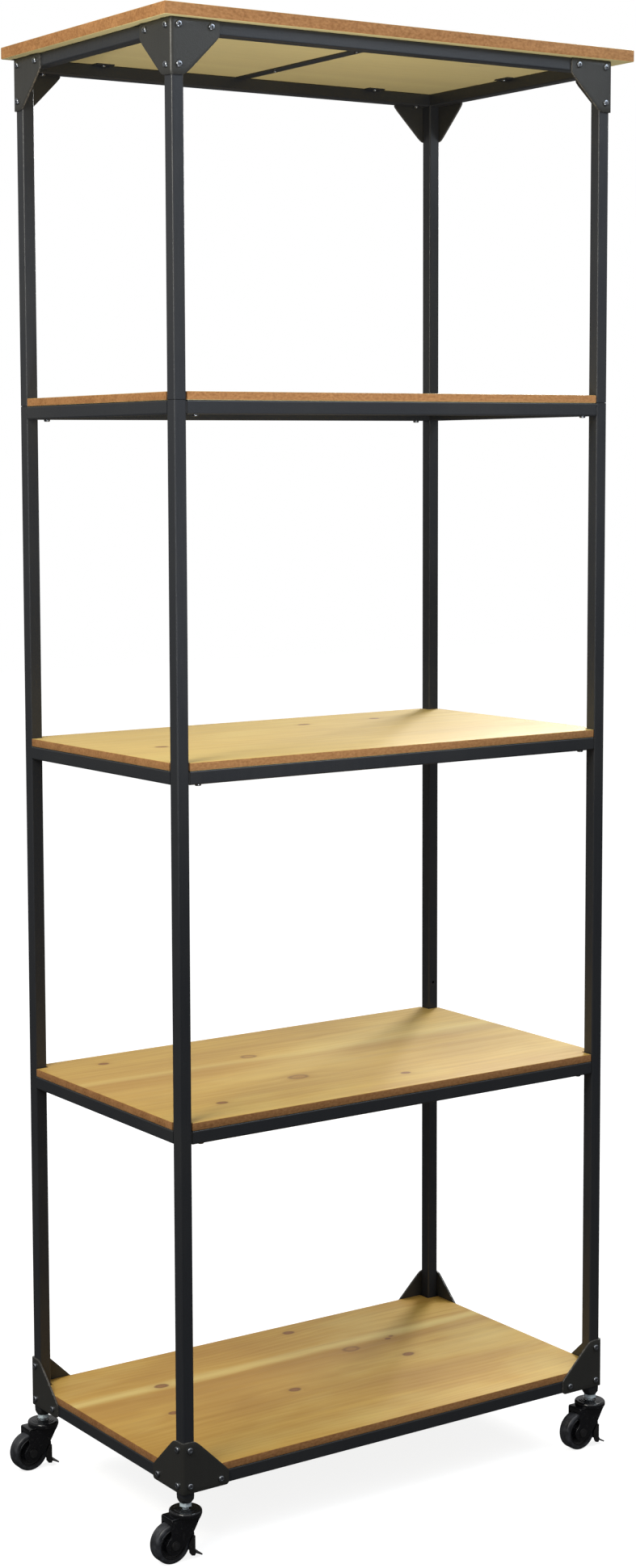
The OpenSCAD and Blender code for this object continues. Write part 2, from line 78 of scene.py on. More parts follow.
def revolved(profile, steps):
    # point (a, k) = (r_k cos a, r_k sin a, h_k): the profile (r, h) turned round Z
    prof = np.asarray(profile, float)
    a = np.linspace(0, 2 * np.pi, steps, endpoint=False)[:, None]
    pts = np.stack([prof[:, 0] * np.cos(a), prof[:, 0] * np.sin(a), prof[:, 1] + 0 * a], -1)
    return pts.reshape(-1, 3), gridFaces(steps, len(prof), closeRows=True)


rimSteps = 3    # flats across each quarter-round rim of a slab


def slab(outline, low, high, arris):
    # rings of the outline, each moved inwards along its corner mitres by arris * (1 - sin q) while
    # its height climbs arris * (1 - cos q), so both rims are quarter rounds; flat caps close it
    p = np.asarray(outline, float)
    ahead = np.roll(p, -1, 0) - p
    ahead /= np.linalg.norm(ahead, axis=1)[:, None]
    inNext = np.stack([-ahead[:, 1], ahead[:, 0]], -1)
    inPrev = np.roll(inNext, 1, 0)
    mitre = (inNext + inPrev) / (1 + np.sum(inNext * inPrev, 1))[:, None]
    q = np.linspace(0, np.pi / 2, rimSteps + 1)
    inset = np.concatenate([arris * (1 - np.sin(q)), arris * (1 - np.cos(q))])
    height = np.concatenate([low + arris * (1 - np.cos(q)), high - arris * (1 - np.sin(q))])
    ring = p[None] + inset[:, None, None] * mitre[None]
    pts = np.concatenate([ring, np.broadcast_to(height[:, None, None], ring.shape[:2] + (1,))], -1)
    n, m = len(inset), len(p)
    faces = gridFaces(n, m, closeCols=True)
    faces.append(list(range(m))[::-1])
    faces.append([(n - 1) * m + k for k in range(m)])
    return pts.reshape(-1, 3), faces


def arcPoints(cx, cy, r, start, sweep, steps):
    # points c + r (cos t, sin t) with t running evenly from start through sweep, in degrees
    t = np.radians(start + sweep * np.linspace(0, 1, steps + 1))
    return np.stack([cx + r * np.cos(t), cy + r * np.sin(t)], -1)


def placed(shape, axes, move=(0, 0, 0)):
    # p' = p . axes + move, where the rows of axes say where the shape's own X, Y and Z go
    pts, faces = shape
    return np.asarray(pts) @ np.array(axes, float) + np.array(move, float), faces


alongX = [[0, 1, 0], [0, 0, 1], [1, 0, 0]]      # the shape's Z axis goes to X
alongY = [[1, 0, 0], [0, 0, -1], [0, 1, 0]]     # the shape's Z axis goes to Y
standing = [[1, 0, 0], [0, 0, 1], [0, -1, 0]]   # a drawing in XY stands up in XZ, its Z axis goes to -Y

# metres: points closer than weld become one, edges shorter than tiny go; edges over sharpAngle stay crisp
meshRules = {"weld": 2e-6, "tiny": 1e-6, "sharpAngle": 35}


def addMesh(name, points, faces, materials):
    mesh = bpy.data.meshes.new(name)
    mesh.from_pydata(np.asarray(points).tolist(), [], faces)
    for mat in materials:
        mesh.materials.append(mat)
    piece = bpy.data.objects.new(name, mesh)
    bpy.context.scene.collection.objects.link(piece)
    return piece, mesh


def smooth(mesh):
    mesh.polygons.foreach_set("use_smooth", np.ones(len(mesh.polygons), bool))


def addPiece(name, shape, body, materials, replaces):
    piece, mesh = addMesh(name, *shape, materials)
    bm = bmesh.new()
    bm.from_mesh(mesh)
    bmesh.ops.remove_doubles(bm, verts=bm.verts, dist=meshRules["weld"])
    bmesh.ops.dissolve_degenerate(bm, dist=meshRules["tiny"], edges=bm.edges)
    bmesh.ops.recalc_face_normals(bm, faces=bm.faces)
    bm.to_mesh(mesh)
    bm.free()
    smooth(mesh)
    mesh.set_sharp_from_angle(angle=math.radians(meshRules["sharpAngle"]))
    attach(piece, body)
    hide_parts(*replaces)
    return piece


class Wire:
    # a shader socket that does arithmetic: each operator adds one Math node
    def __init__(self, tree, socket):
        self.tree, self.socket = tree, socket

    def math(self, operation, *values):
        return self.tree.node("ShaderNodeMath", {"operation": operation}, dict(enumerate(values)))

    def __add__(self, other):
        return self.math("ADD", self, other)

    def __radd__(self, other):
        return self.math("ADD", other, self)

    def __sub__(self, other):
        return self.math("SUBTRACT", self, other)

    def __rsub__(self, other):
        return self.math("SUBTRACT", other, self)

    def __mul__(self, other):
        return self.math("MULTIPLY", self, other)

    def __rtruediv__(self, other):
        return self.math("DIVIDE", other, self)

    def __pow__(self, other):
        return self.math("POWER", self, other)

    def clamped(self):
        return self.math("MINIMUM", self.math("MAXIMUM", self, 0.0), 1.0)


class Finish:
    # one material with a Principled shader
    def __init__(self, name, **constants):
        self.material = bpy.data.materials.new(name)
        self.material.use_nodes = True
        self.tree = self.material.node_tree
        self.shader = self.tree.nodes["Principled BSDF"]
        for socket, value in constants.items():
            self.shader.inputs[socket.replace("_", " ")].default_value = value

    def node(self, kind, settings=None, inputs=None, out=0):
        made = self.tree.nodes.new(kind)
        for key, value in (settings or {}).items():
            setattr(made, key, value)
        for key, value in (inputs or {}).items():
            if isinstance(value, Wire):
                self.tree.links.new(value.socket, made.inputs[key])
            else:
                made.inputs[key].default_value = value
        return Wire(self, made.outputs[out])

    def place(self, scale=(1, 1, 1), move=(0, 0, 0)):
        at = self.node("ShaderNodeTexCoord", out="Object")
        return self.node("ShaderNodeMapping", {}, {"Vector": at, "Scale": scale, "Location": move})

    def noise(self, vector, scale, detail):
        return self.node("ShaderNodeTexNoise", {}, {
            "Vector": vector, "Scale": scale, "Detail": detail, "Roughness": 0.55})

    def mix(self, factor, a, b):
        # colours: a where the factor is 0, b where it is 1
        return self.node("ShaderNodeMix", {"data_type": "RGBA"}, {0: factor, 6: a, 7: b}, out=2)

    def split(self, vector):
        # the three parts of a vector
        parts = self.node("ShaderNodeSeparateXYZ", {}, {0: vector}).socket.node.outputs
        return Wire(self, parts[0]), Wire(self, parts[1]), Wire(self, parts[2])

    def bump(self, height, distance):
        return self.node("ShaderNodeBump", {}, {"Height": height, "Distance": distance})

    def feed(self, **links):
        for socket, wire in links.items():
            self.tree.links.new(wire.socket, self.shader.inputs[socket.replace("_", " ")])
        return self.material


def rgb(r, g, b):
    # an sRGB colour given 0-255 as the linear colour that the shader wants
    c = np.array([r, g, b]) / 255
    linear = np.where(c <= 0.04045, c / 12.92, ((c + 0.055) / 1.055) ** 2.4)
    return tuple(float(v) for v in linear) + (1.0,)


def smoothStep(wire, low, high):
    # 0 at low, 1 at high, straight between and level beyond; low may be the larger number
    return ((wire - low) * (1.0 / (high - low))).clamped()


def band(line, full, gone):
    # 1 where |line| is under full, 0 where it is over gone
    return 1.0 - smoothStep(line.math("ABSOLUTE", line), full, gone)


# base and dust are colours, peel is the height of the orange peel in metres
coats = {
    "frameCoat": {"base": rgb(38, 40, 44), "dust": rgb(54, 54, 52), "rough": 0.36, "peel": 0.00012},
    "bracketCoat": {"base": rgb(45, 45, 43), "dust": rgb(60, 58, 53), "rough": 0.38, "peel": 0.00010},
    "innerCoat": {"base": rgb(42, 42, 43), "dust": rgb(56, 56, 55), "rough": 0.5, "peel": 0.00008},
}


def powderCoat(name, base, dust, rough, peel):
    # dark coat: slow patches of dust, fine orange peel as bump, and faint rubbed streaks in the gloss
    f = Finish(name, Specular_IOR_Level=0.45)
    here = f.place()
    patches = f.noise(here, 7.0, 4.0)
    grit = f.noise(here, 900.0, 2.0)
    rubbed = f.noise(f.place(scale=(60, 60, 6)), 4.0, 4.0)
    tone = smoothStep(patches, 0.45, 0.8) * 0.35 + smoothStep(grit, 0.6, 0.9) * 0.35
    gloss = rough + (rubbed - 0.5) * 0.22 + (grit - 0.5) * 0.10
    height = grit * 0.6 + f.noise(here, 380.0, 2.0)
    return f.feed(Base_Color=f.mix(tone, base, dust), Roughness=gloss, Normal=f.bump(height, peel))


def edgeWearAndHighlight(name):
    # the cut rim of coated sheet: coat worn thin over steel, and its lighter, partly metal patches are also a
    # painted highlight along the edges
    f = Finish(name)
    # partly wear and partly painted highlight: the rim turns lighter and more metal where this mask is high
    worn = smoothStep(f.noise(f.place(), 260.0, 4.0), 0.42, 0.62)
    return f.feed(Base_Color=f.mix(worn, rgb(58, 57, 56), rgb(120, 118, 114)),
                  Metallic=worn * 0.7, Roughness=0.5 - worn * 0.18)


def plated(name, colour, rough, shine=1.0):
    # bright plating with stains and fine scratches
    f = Finish(name, Metallic=shine)
    here = f.place()
    stain = f.noise(here, 120.0, 4.0)
    scratch = f.noise(f.place(scale=(900, 900, 90)), 1.0, 2.0)
    return f.feed(Base_Color=f.mix(smoothStep(stain, 0.35, 0.75), colour, rgb(150, 156, 162)),
                  Roughness=rough + (scratch - 0.5) * 0.25, Normal=f.bump(scratch, 0.00004))


def blackGloss(name, tone, rough):
    # glossy black enamel: slow waves in the coat and a little dust
    f = Finish(name, Coat_Roughness=0.08)
    here = f.place()
    dust = smoothStep(f.noise(here, 240.0, 5.0), 0.55, 0.85)
    waves = f.noise(here, 170.0, 2.0)
    return f.feed(Base_Color=f.mix(dust * 0.5, tone, rgb(70, 70, 70)), Roughness=rough + dust * 0.3,
                  Normal=f.bump(waves, 0.00006))


def rubber(name, tone, worn, rough):
    # tyre: fine grain, worn paler where it is rubbed
    f = Finish(name)
    here = f.place()
    rub = smoothStep(f.noise(here, 90.0, 5.0), 0.42, 0.7)
    grain = f.noise(here, 1500.0, 2.0)
    return f.feed(Base_Color=f.mix(rub * 0.7, tone, worn), Roughness=rough + rub * 0.15,
                  Normal=f.bump(grain, 0.00008))


def matteBlack(name):
    # moulded plastic with a fine grain
    f = Finish(name)
    grain = f.noise(f.place(), 1300.0, 2.0)
    return f.feed(Base_Color=f.mix(grain, rgb(20, 20, 21), rgb(34, 34, 35)), Roughness=0.5 + grain * 0.2,
                  Normal=f.bump(grain, 0.00006))


frameCoat, bracketCoat, innerCoat = [powderCoat(name, **coats[name]) for name in coats]
cutEdgeWearHighlight = edgeWearAndHighlight("cutEdgeWearHighlight")
brightSteel = plated("brightSteel", rgb(128, 130, 136), 0.34)
# painted reflection: the zinc is near-white with little metal, so its pale colour stands in for the bright
# shine of the plating
zincPaintedShine = plated("zincPaintedShine", rgb(222, 238, 246), 0.30, shine=0.1)
casterEnamel = blackGloss("casterEnamel", rgb(16, 16, 19), 0.15)
brakeEnamel = blackGloss("brakeEnamel", rgb(24, 23, 23), 0.34)
axleEnamel = blackGloss("axleEnamel", rgb(28, 28, 29), 0.30)
plugPlastic = matteBlack("plugPlastic")
tyreRubber = rubber("tyreRubber", rgb(34, 35, 39), rgb(74, 76, 82), 0.36)
corePlastic = blackGloss("corePlastic", rgb(17, 17, 20), 0.24)

pine = {
    "early": rgb(193, 156, 74),       # pale wood between the rings
    "late": rgb(158, 112, 44),        # the dark side of each ring
    "heart": rgb(152, 108, 42),       # brown lengthwise bands and clouds
    "sap": rgb(220, 202, 130),        # pale lengthwise bands
    "knot": rgb(122, 74, 40),
    "knotRim": rgb(94, 58, 32),
    "edge": rgb(168, 120, 78),        # sawn edges take more stain
    "edgeDark": rgb(122, 78, 44),
    "under": rgb(222, 212, 160),      # undersides are left paler
    # metres: distance between rings, depth of the pith under the face (squared), and how far slow
    # noise bends the rings, the pale line and the glue line
    "ringPitch": 0.012, "pithDepth": 0.0050, "bend": 0.14, "sapBend": 0.05, "seamBend": 0.003,
    # a knot is drawn longer along the grain, and pushes the rings near it aside
    "knotLong": 1.5, "knotSoft": 0.5, "knotPush": 0.010, "knotTint": 0.80, "ringTint": 0.25,
    # a brown band runs beside the pale one
    "brownBeside": 0.030, "brownTint": 0.38, "lateTint": 0.20, "seamTint": 0.55, "rimTint": 0.75,
    "edgeTint": 0.92, "peel": 0.00014,
    # where each band or outline starts to fade and where it is gone
    "sapEdge": (0.003, 0.017), "brownEdge": (0.004, 0.040), "seamEdge": (0.0004, 0.0013),
    "knotEdge": (0.62, 1.05), "rimEdge": (0.45, 0.80), "sideEdge": (0.35, 0.75),
}

# stretch along X, Y and Z, and detail, of each noise in the wood
pineNoise = {
    "slow": ((1.3, 5, 5), 3.0),
    "cloud": ((3.2, 7.0, 7.0), 3.0),
    "wave": ((30, 60, 60), 2.0),
    "fibre": ((14, 620, 620), 3.0),
    "dash": ((9, 230, 230), 2.0),
    "streak": ((1.6, 46, 46), 4.0),
}

# each layer tints the wood as its value goes from the first number to the second, up to the share given third
pineLayers = {
    "streak": (0.42, 0.70, 0.45),
    "cloud": (0.46, 0.72, 0.50),
    "paleCloud": (0.48, 0.30, 0.30),
    # painted shade: each board is darkened towards its -X end, as shade and not as a change in the wood
    "paintedShadeLeftEnd": (0.25, -0.40, 0.30),
    "dash": (0.62, 0.78, 0.40),
    "fibre": (0.55, 0.85, 0.22),
    "nearKnot": (0.30, 1.0, 0.40),
    "under": (0.4, 0.8, 0.75),
}


def knotPattern(f, x, y, wave, knots):
    # off = (dx / long)^2 + dy^2, in knot radii; near = sum of 1 / (1 + off / 2) pushes the rings aside,
    # core = least sqrt(off) draws the knots, ringed is 1 round the knots of which only the ring shows
    near, core, ringed = x * 0.0, x * 0.0 + 9.0, x * 0.0
    for kx, ky, radius, isRing in knots:
        off = ((x - kx) * (1.0 / (radius * pine["knotLong"]))) ** 2 + ((y - ky) * (1.0 / radius)) ** 2
        reach = (off + 0.0001) ** 0.5 + (wave - 0.5) * 0.5
        near = near + 1.0 / (1.0 + off * pine["knotSoft"])
        core = core.math("MINIMUM", core, reach)
        if isRing:
            ringed = ringed + (1.0 - smoothStep(off, 1.6, 3.0))
    return near, core, ringed


def tinted(f, colour, value, layer, towards):
    low, high, share = pineLayers[layer]
    return f.mix(smoothStep(value, low, high) * share, colour, towards)


def pineBoard(name, grain):
    # Growth rings are cylinders round a pith line under the board: r = |(y - y0, depth)| plus slow noise,
    # ring = fraction(r / pitch). Knots push the rings aside, and the broad bands of the plank run along X.
    s = pine
    f = Finish(name, Specular_IOR_Level=0.25)
    x, y, _ = f.split(f.node("ShaderNodeTexCoord", out="Object"))
    shift = grain["shift"]
    slow, cloud, wave, fibre, dash, streak = [
        f.noise(f.place(scale=stretch, move=shift), 1.0, detail) for stretch, detail in pineNoise.values()]
    near, core, ringed = knotPattern(f, x, y, wave, grain["knots"])

    # rings
    pith = (y + (slow - 0.5) * s["bend"] - grain["pith"]) ** 2 + s["pithDepth"]
    turn = (pith ** 0.5 + near * s["knotPush"]) * (1.0 / s["ringPitch"])
    turn = turn.math("FRACT", turn)
    late = smoothStep(turn, 0.25, 0.95) * (1.0 - smoothStep(turn, 0.95, 1.0))
    colour = f.mix(late * s["lateTint"], s["early"], s["late"])

    # streaks, clouds, painted shade towards the -X end, and lengthwise bands
    sapLine = y - grain["sap"] + (slow - 0.5) * s["sapBend"]
    colour = tinted(f, colour, streak, "streak", s["heart"])
    colour = tinted(f, colour, cloud, "cloud", s["heart"])
    colour = tinted(f, colour, cloud, "paleCloud", s["sap"])
    colour = tinted(f, colour, x, "paintedShadeLeftEnd", s["heart"])
    colour = f.mix(grain["pale"], colour, s["sap"])
    colour = f.mix(band(sapLine + s["brownBeside"], *s["brownEdge"]) * s["brownTint"], colour, s["heart"])
    colour = f.mix(band(sapLine, *s["sapEdge"]) * grain["sapMix"], colour, s["sap"])
    colour = tinted(f, colour, dash, "dash", s["late"])
    colour = tinted(f, colour, fibre, "fibre", s["late"])

    # knots with their dark rims
    colour = tinted(f, colour, near, "nearKnot", s["heart"])
    inKnot = 1.0 - smoothStep(core, *s["knotEdge"])
    rim = smoothStep(core, *s["rimEdge"]) * inKnot
    colour = f.mix(inKnot * (s["knotTint"] - ringed * (s["knotTint"] - s["ringTint"])), colour, s["knot"])
    colour = f.mix(rim * s["rimTint"], colour, s["knotRim"])

    # the glue line between two planks
    joint = band(y - grain["seam"] + (slow - 0.5) * s["seamBend"], *s["seamEdge"])
    colour = f.mix(joint * s["seamTint"], colour, s["knotRim"])

    # underside and sawn edges
    _, _, nz = f.split(f.node("ShaderNodeNewGeometry", out="Normal"))
    side = band(nz, *s["sideEdge"])
    colour = tinted(f, colour, nz * -1.0, "under", s["under"])
    mottle = f.noise(f.place(scale=(0.6, 1, 1), move=shift), 300.0, 4.0)
    edge = f.mix(smoothStep(mottle * 0.6 + streak * 0.4, 0.38, 0.66), s["edge"], s["edgeDark"])
    colour = f.mix(side * s["edgeTint"], colour, edge)

    gloss = 0.50 + (fibre - 0.5) * 0.16 + side * 0.2 + late * 0.05
    relief = (1.0 - late) * 0.3 + fibre * 0.6 + mottle * side * 0.8 - joint * 2.0
    return f.feed(Base_Color=colour, Roughness=gloss, Normal=f.bump(relief, s["peel"]))


boards = {
    "arris": 1.0, "topArris": 1.6, "notch": 22.0,
    # seam, sap and pith are places along Y in metres, and one at 0.5 is off the board;
    # a knot is (x, y, radius, 1 when only the ring round it shows)
    "bottom": {
        "shift": (0.3, 1.9, 0.4), "pale": 0.0, "seam": 0.5, "sap": 0.094, "sapMix": 0.5, "pith": 0.02,
        "knots": [
            (-0.239, 0.095, 0.009, 0), (-0.072, -0.036, 0.008, 0), (0.113, 0.064, 0.012, 1),
            (0.176, -0.007, 0.008, 0), (0.072, 0.187, 0.008, 0), (-0.284, -0.013, 0.007, 0),
            (0.193, 0.071, 0.004, 0), (0.205, 0.078, 0.003, 0)]},
    "second": {
        "shift": (0.7, 3.1, 1.3), "pale": 0.14, "seam": 0.5, "sap": 0.060, "sapMix": 0.22, "pith": -0.04,
        "knots": [
            (-0.080, 0.078, 0.010, 1), (-0.092, -0.078, 0.013, 1), (-0.278, -0.145, 0.007, 0),
            (-0.296, 0.167, 0.007, 0), (0.060, -0.150, 0.006, 0)]},
    "third": {
        "shift": (1.2, 5.2, 2.2), "pale": 0.38, "seam": 0.5, "sap": 0.5, "sapMix": 0.0, "pith": 0.10,
        "knots": [(0.060, 0.120, 0.008, 0), (0.210, 0.130, 0.007, 0), (-0.300, -0.020, 0.008, 0)]},
    "fourth": {
        "shift": (1.6, 6.4, 3.1), "pale": 0.2, "seam": 0.5, "sap": 0.050, "sapMix": 0.3, "pith": -0.08,
        "knots": [(0.100, -0.050, 0.008, 0), (-0.200, 0.080, 0.007, 1)]},
    "top": {
        "shift": (2.1, 8.3, 4.7), "pale": 0.2, "seam": 0.004, "sap": 0.120, "sapMix": 0.4, "pith": -0.10,
        "knots": [
            (-0.220, 0.020, 0.010, 1), (0.020, 0.120, 0.008, 0), (0.250, -0.080, 0.008, 0),
            (-0.330, -0.120, 0.007, 0)]},
}


def boardOutline(lo, hi, notch):
    # the rectangle of the board with a square step at each corner, counter-clockwise
    x0, y0, x1, y1 = lo.x, lo.y, hi.x, hi.y
    n = notch * mm
    return [(x0, y0 + n), (x0 + n, y0 + n), (x0 + n, y0), (x1 - n, y0), (x1 - n, y0 + n), (x1, y0 + n),
            (x1, y1 - n), (x1 - n, y1 - n), (x1 - n, y1), (x0 + n, y1), (x0 + n, y1 - n), (x0, y1 - n)]


for level in levels:
    isTop = level == "top"
    cad = "top_board" if isTop else level + "_shelf_board"
    lo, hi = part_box(cad)
    outline = ([(lo.x, lo.y), (hi.x, lo.y), (hi.x, hi.y), (lo.x, hi.y)] if isTop
               else boardOutline(lo, hi, boards["notch"]))
    wood = pineBoard(level + "Pine", boards[level])
    arris = (boards["topArris"] if isTop else boards["arris"]) * mm
    addPiece(level + "Board", slab(outline, lo.z, hi.z, arris), "frame", [wood], [cad])
print("stage: boards")


# mm: wing is along the sheet, high at the fold, end at the tip of a wing; foot is the flat part of the
# long edge before it slopes, and blend rounds that corner
bracketSize = {"sheet": 3.0, "fold": 4.5, "wing": 81.0, "high": 77.0, "end": 22.0, "foot": 24.0,
               "round": 5.0, "blend": 14.0, "rim": 0.5, "rows": 10, "columns": 34, "creaseAngle": 50}


def bracketSheet(s):
    # Developed sheet: u runs along both wings through the fold, v from the long edge down to depth(u).
    # Outside the fold the sheet is flat; over the quarter circle of the fold it bends,
    # P = c - R (cos q, sin q).
    flat = s["wing"] - s["fold"]
    bend = s["fold"] * math.pi / 2
    ends = flat - s["round"] * (1 - np.cos(np.linspace(0, np.pi / 2, 7)))
    side = np.unique(np.concatenate([np.linspace(0, flat, s["columns"]), ends]))
    u = np.concatenate([-bend / 2 - side[::-1], np.linspace(-bend / 2, bend / 2, 9)[1:-1], bend / 2 + side])
    out = np.abs(u) - bend / 2 + s["fold"]      # distance from the outside of the fold along a wing
    slope = (s["high"] - s["end"]) / (s["wing"] - s["foot"])
    line = s["high"] - (out - s["foot"]) * slope
    deep = (s["high"] + line - np.sqrt((s["high"] - line) ** 2 + s["blend"])) / 2
    # the tip of each wing is rounded: nose runs from 0 to 1 over it
    nose = np.clip(out - (s["wing"] - s["round"]), 0, s["round"]) / s["round"]
    lift = s["round"] * (1 - np.sqrt(np.maximum(1 - nose ** 2, 0)))
    tip = s["end"] + slope * s["round"] * (1 - nose) * 0.9 - lift * 0.4
    deep = np.where(nose > 0, np.minimum(deep, tip), deep)
    down = lift + (deep - lift) * np.linspace(0, 1, s["rows"])[:, None]
    q = np.clip(u / bend + 0.5, 0, 1) * math.pi / 2    # 0 on the wing along Y, 90 degrees on the wing along X
    x = s["fold"] * (1 - np.cos(q)) + np.maximum(u - bend / 2, 0)
    y = s["fold"] * (1 - np.sin(q)) + np.maximum(-u - bend / 2, 0)
    pts = np.stack([x + 0 * down, y + 0 * down, -down], -1) * mm
    return pts, gridFaces(s["rows"], len(u))


def addBracket(key, sign, isTop):
    # the sheet drawn for the front left top corner is mirrored into its own corner, then given its thickness
    s = bracketSize
    place = "top" if isTop else "foot"
    node = f"{key}_{place}_bracket"
    lo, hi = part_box(node)
    pts, faces = bracketSheet(s)
    pts[..., 0] = (lo.x + pts[..., 0]) if sign[0] < 0 else (hi.x - pts[..., 0])
    pts[..., 1] = (lo.y + pts[..., 1]) if sign[1] < 0 else (hi.y - pts[..., 1])
    pts[..., 2] = (hi.z + pts[..., 2]) if isTop else (lo.z - pts[..., 2])
    if sign[0] * sign[1] * (1 if isTop else -1) < 0:
        faces = [f[::-1] for f in faces]
    piece, mesh = addMesh(tagOf(key) + place.title() + "Bracket", pts.reshape(-1, 3), faces,
                          [bracketCoat, cutEdgeWearHighlight])
    smooth(mesh)
    solid = piece.modifiers.new("sheet", "SOLIDIFY")
    solid.thickness = s["sheet"] * mm
    solid.offset = -1.0
    solid.use_even_offset = True
    # the rims take the second finish: worn edge with a painted highlight
    solid.material_offset_rim = 1
    soft = piece.modifiers.new("arris", "BEVEL")
    soft.width = s["rim"] * mm
    soft.segments = 2
    soft.limit_method = "ANGLE"
    soft.angle_limit = math.radians(s["creaseAngle"])
    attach(piece, "frame")
    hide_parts(node)


for key, sign in corners.items():
    for isTop in (True, False):
        addBracket(key, sign, isTop)
print("stage: brackets")


# shares of the screw's diameter
panHead = {"head": 0.95, "tall": 0.6, "tip": 0.34, "taper": 0.16, "socket": 0.30, "lead": 0.03}
screwSteps = 36     # flats round a screw, a multiple of 6 so that the socket has its corners


def panScrew(d, length):
    # turned pan head with a hexagonal socket: the socket's rings have radius a / cos(t mod 60 - 30)
    s = {key: d * value for key, value in panHead.items()}
    head, tall = s["head"], s["tall"]
    dome = arcPoints(head - tall * 0.55, tall * 0.45, tall * 0.55, 0, 78, 5)
    t = np.linspace(0, 2 * np.pi, screwSteps, endpoint=False)
    hexa = s["socket"] / np.cos((t % (np.pi / 3)) - np.pi / 6)
    rows = [(0, -length), (s["tip"], -length), (d / 2, -length + s["taper"]), (d / 2, 0),
            (head, 0), (head, tall * 0.45)]
    rows += [tuple(p) for p in dome[1:]]
    rows += [(hexa + s["lead"], tall), (hexa, tall - s["lead"]), (hexa * 0.98, tall * 0.35), (0, tall * 0.28)]
    r = np.stack([row[0] + 0 * t for row in rows], -1)
    h = np.stack([row[1] + 0 * t for row in rows], -1)
    pts = np.stack([r * np.cos(t)[:, None], r * np.sin(t)[:, None], h], -1) * mm
    return pts.reshape(-1, 3), gridFaces(screwSteps, len(rows), closeRows=True)


def screwAt(shape, place, outward):
    # turns the screw's Z axis to the outward direction and moves its seat to the place
    w = np.array(outward, float)
    helper = np.array([0, 0, 1.0]) if abs(w[2]) < 0.9 else np.array([1.0, 0, 0])
    a = np.cross(helper, w)
    a /= np.linalg.norm(a)
    return placed(shape, [a, np.cross(w, a), w], place)


# mm: the first screw sits inset along the wing and edge down from the rail's edge, the others a pitch away
bracketScrews = {"size": 5.0, "length": 8.0, "inset": 13.0, "pitch": 54.0, "edge": 10.0}


def bracketScrewShapes():
    s = bracketScrews
    screw = panScrew(s["size"], s["length"])
    shapes = []
    for key, sign in corners.items():
        for isTop in (True, False):
            lo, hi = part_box(f"{key}_{'top' if isTop else 'foot'}_bracket")
            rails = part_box(("top" if isTop else "bottom") + "_long_rails")
            edge = rails[1].z if isTop else rails[0].z
            cornerX = lo.x if sign[0] < 0 else hi.x
            cornerY = lo.y if sign[1] < 0 else hi.y
            way = -1 if isTop else 1
            for out, down in ((0, 0), (s["pitch"], 0), (0, s["pitch"])):
                z = edge + way * (s["edge"] + down) * mm
                along = (s["inset"] + out) * mm
                shapes.append(screwAt(screw, (cornerX - sign[0] * along, cornerY, z), (0, sign[1], 0)))
                shapes.append(screwAt(screw, (cornerX, cornerY - sign[1] * along, z), (sign[0], 0, 0)))
    return joined(shapes)


addPiece("bracketScrews", bracketScrewShapes(), "frame", [brightSteel], ["bracket_screws"])

# mm: tab is the thickness of a board tab, reach how far its screw stands in from the rail
lockScrews = {"size": 5.0, "length": 4.7, "inset": 21.0}
boardScrews = {"size": 4.0, "length": 10.0, "tab": 2.0, "tabX": 260.0, "barY": 107.0, "reach": 6.5,
               "step": 2.0}


def underScrewShapes():
    s = boardScrews
    lock = panScrew(lockScrews["size"], lockScrews["length"])
    wood = panScrew(s["size"], s["length"])
    down = (0, 0, -1)
    locks, woods = [], []
    for level in levels:
        lo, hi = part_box(level + "_long_rails")
        _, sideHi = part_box(level + "_side_rails")
        innerX, innerY = hi.x + s["step"] * mm, sideHi.y
        lockX, lockY = innerX - lockScrews["inset"] * mm, (hi.y + innerY) / 2
        tabY, endX = innerY - s["reach"] * mm, innerX - s["reach"] * mm
        z = hi.z - s["tab"] * mm
        for sx, sy in corners.values():
            locks.append(screwAt(lock, (sx * lockX, sy * lockY, lo.z), down))
            woods.append(screwAt(wood, (sx * s["tabX"] * mm, sy * tabY, z), down))
        for sign in (-1, 1):
            woods.append(screwAt(wood, (sign * endX, 0, z), down))
            woods.append(screwAt(wood, (0, sign * s["barY"] * mm, z), down))
    return joined(locks), joined(woods)


lockShape, woodShape = underScrewShapes()
addPiece("lockScrews", lockShape, "frame", [brightSteel], ["rail_lock_screws"])
addPiece("boardScrews", woodShape, "frame", [brightSteel], ["board_screws"])
print("stage: screws")


# mm, with z from the floor; back and coverEnd are behind the stem, inside is from the wheel's middle
# plane, lip and legFront from the top and front of the head, and core is the radius where the tyre starts
caster = {
    "wheel": 60.0, "width": 22.0, "trail": 27.0, "axle": 8.0, "head": 49.0, "headTop": 77.0, "forkTop": 69.0,
    "sheet": 2.5, "inside": 12.0, "back": 33.0, "leg": 15.0, "arris": 0.7, "bore": 5.06, "coverEnd": 8.0,
    "coverRound": 3.0, "lip": 9.0, "legFront": 6.0, "shoulder": 4.0, "tread": 4.6,
    "groove": 0.18, "core": 22.4,
}


def wheelShape(s):
    # half profile of the wheel turned round its axle: hub, dished web, rim lip and a tread with
    # shallow grooves
    w, r = s["width"] / 2, s["wheel"] / 2
    across = np.linspace(-w + s["tread"], w - s["tread"], 37)
    tread = np.stack([r - s["groove"] * (np.abs(np.sin(across * 2.2)) > 0.93), across], -1)
    side = [(s["axle"] / 2 + 0.05, w), (9.4, w), (10.0, w - 0.5), (10.6, w - 2.6), (11.6, w - 3.0),
            (18.6, w - 3.0), (19.6, w - 2.6), (20.2, w - 0.9), (21.0, w - 0.6), (22.2, w - 0.6),
            (22.6, w - 1.0), (23.2, w - 0.9)]
    shoulder = arcPoints(r - s["shoulder"], w - s["tread"], s["shoulder"], 90, -90, 7)
    upper = np.concatenate([side, shoulder])
    lower = upper * [1, -1]
    profile = np.concatenate([upper, tread[::-1][1:-1], lower[::-1], upper[:1]]) * mm
    return placed(revolved(profile, 72), alongY)


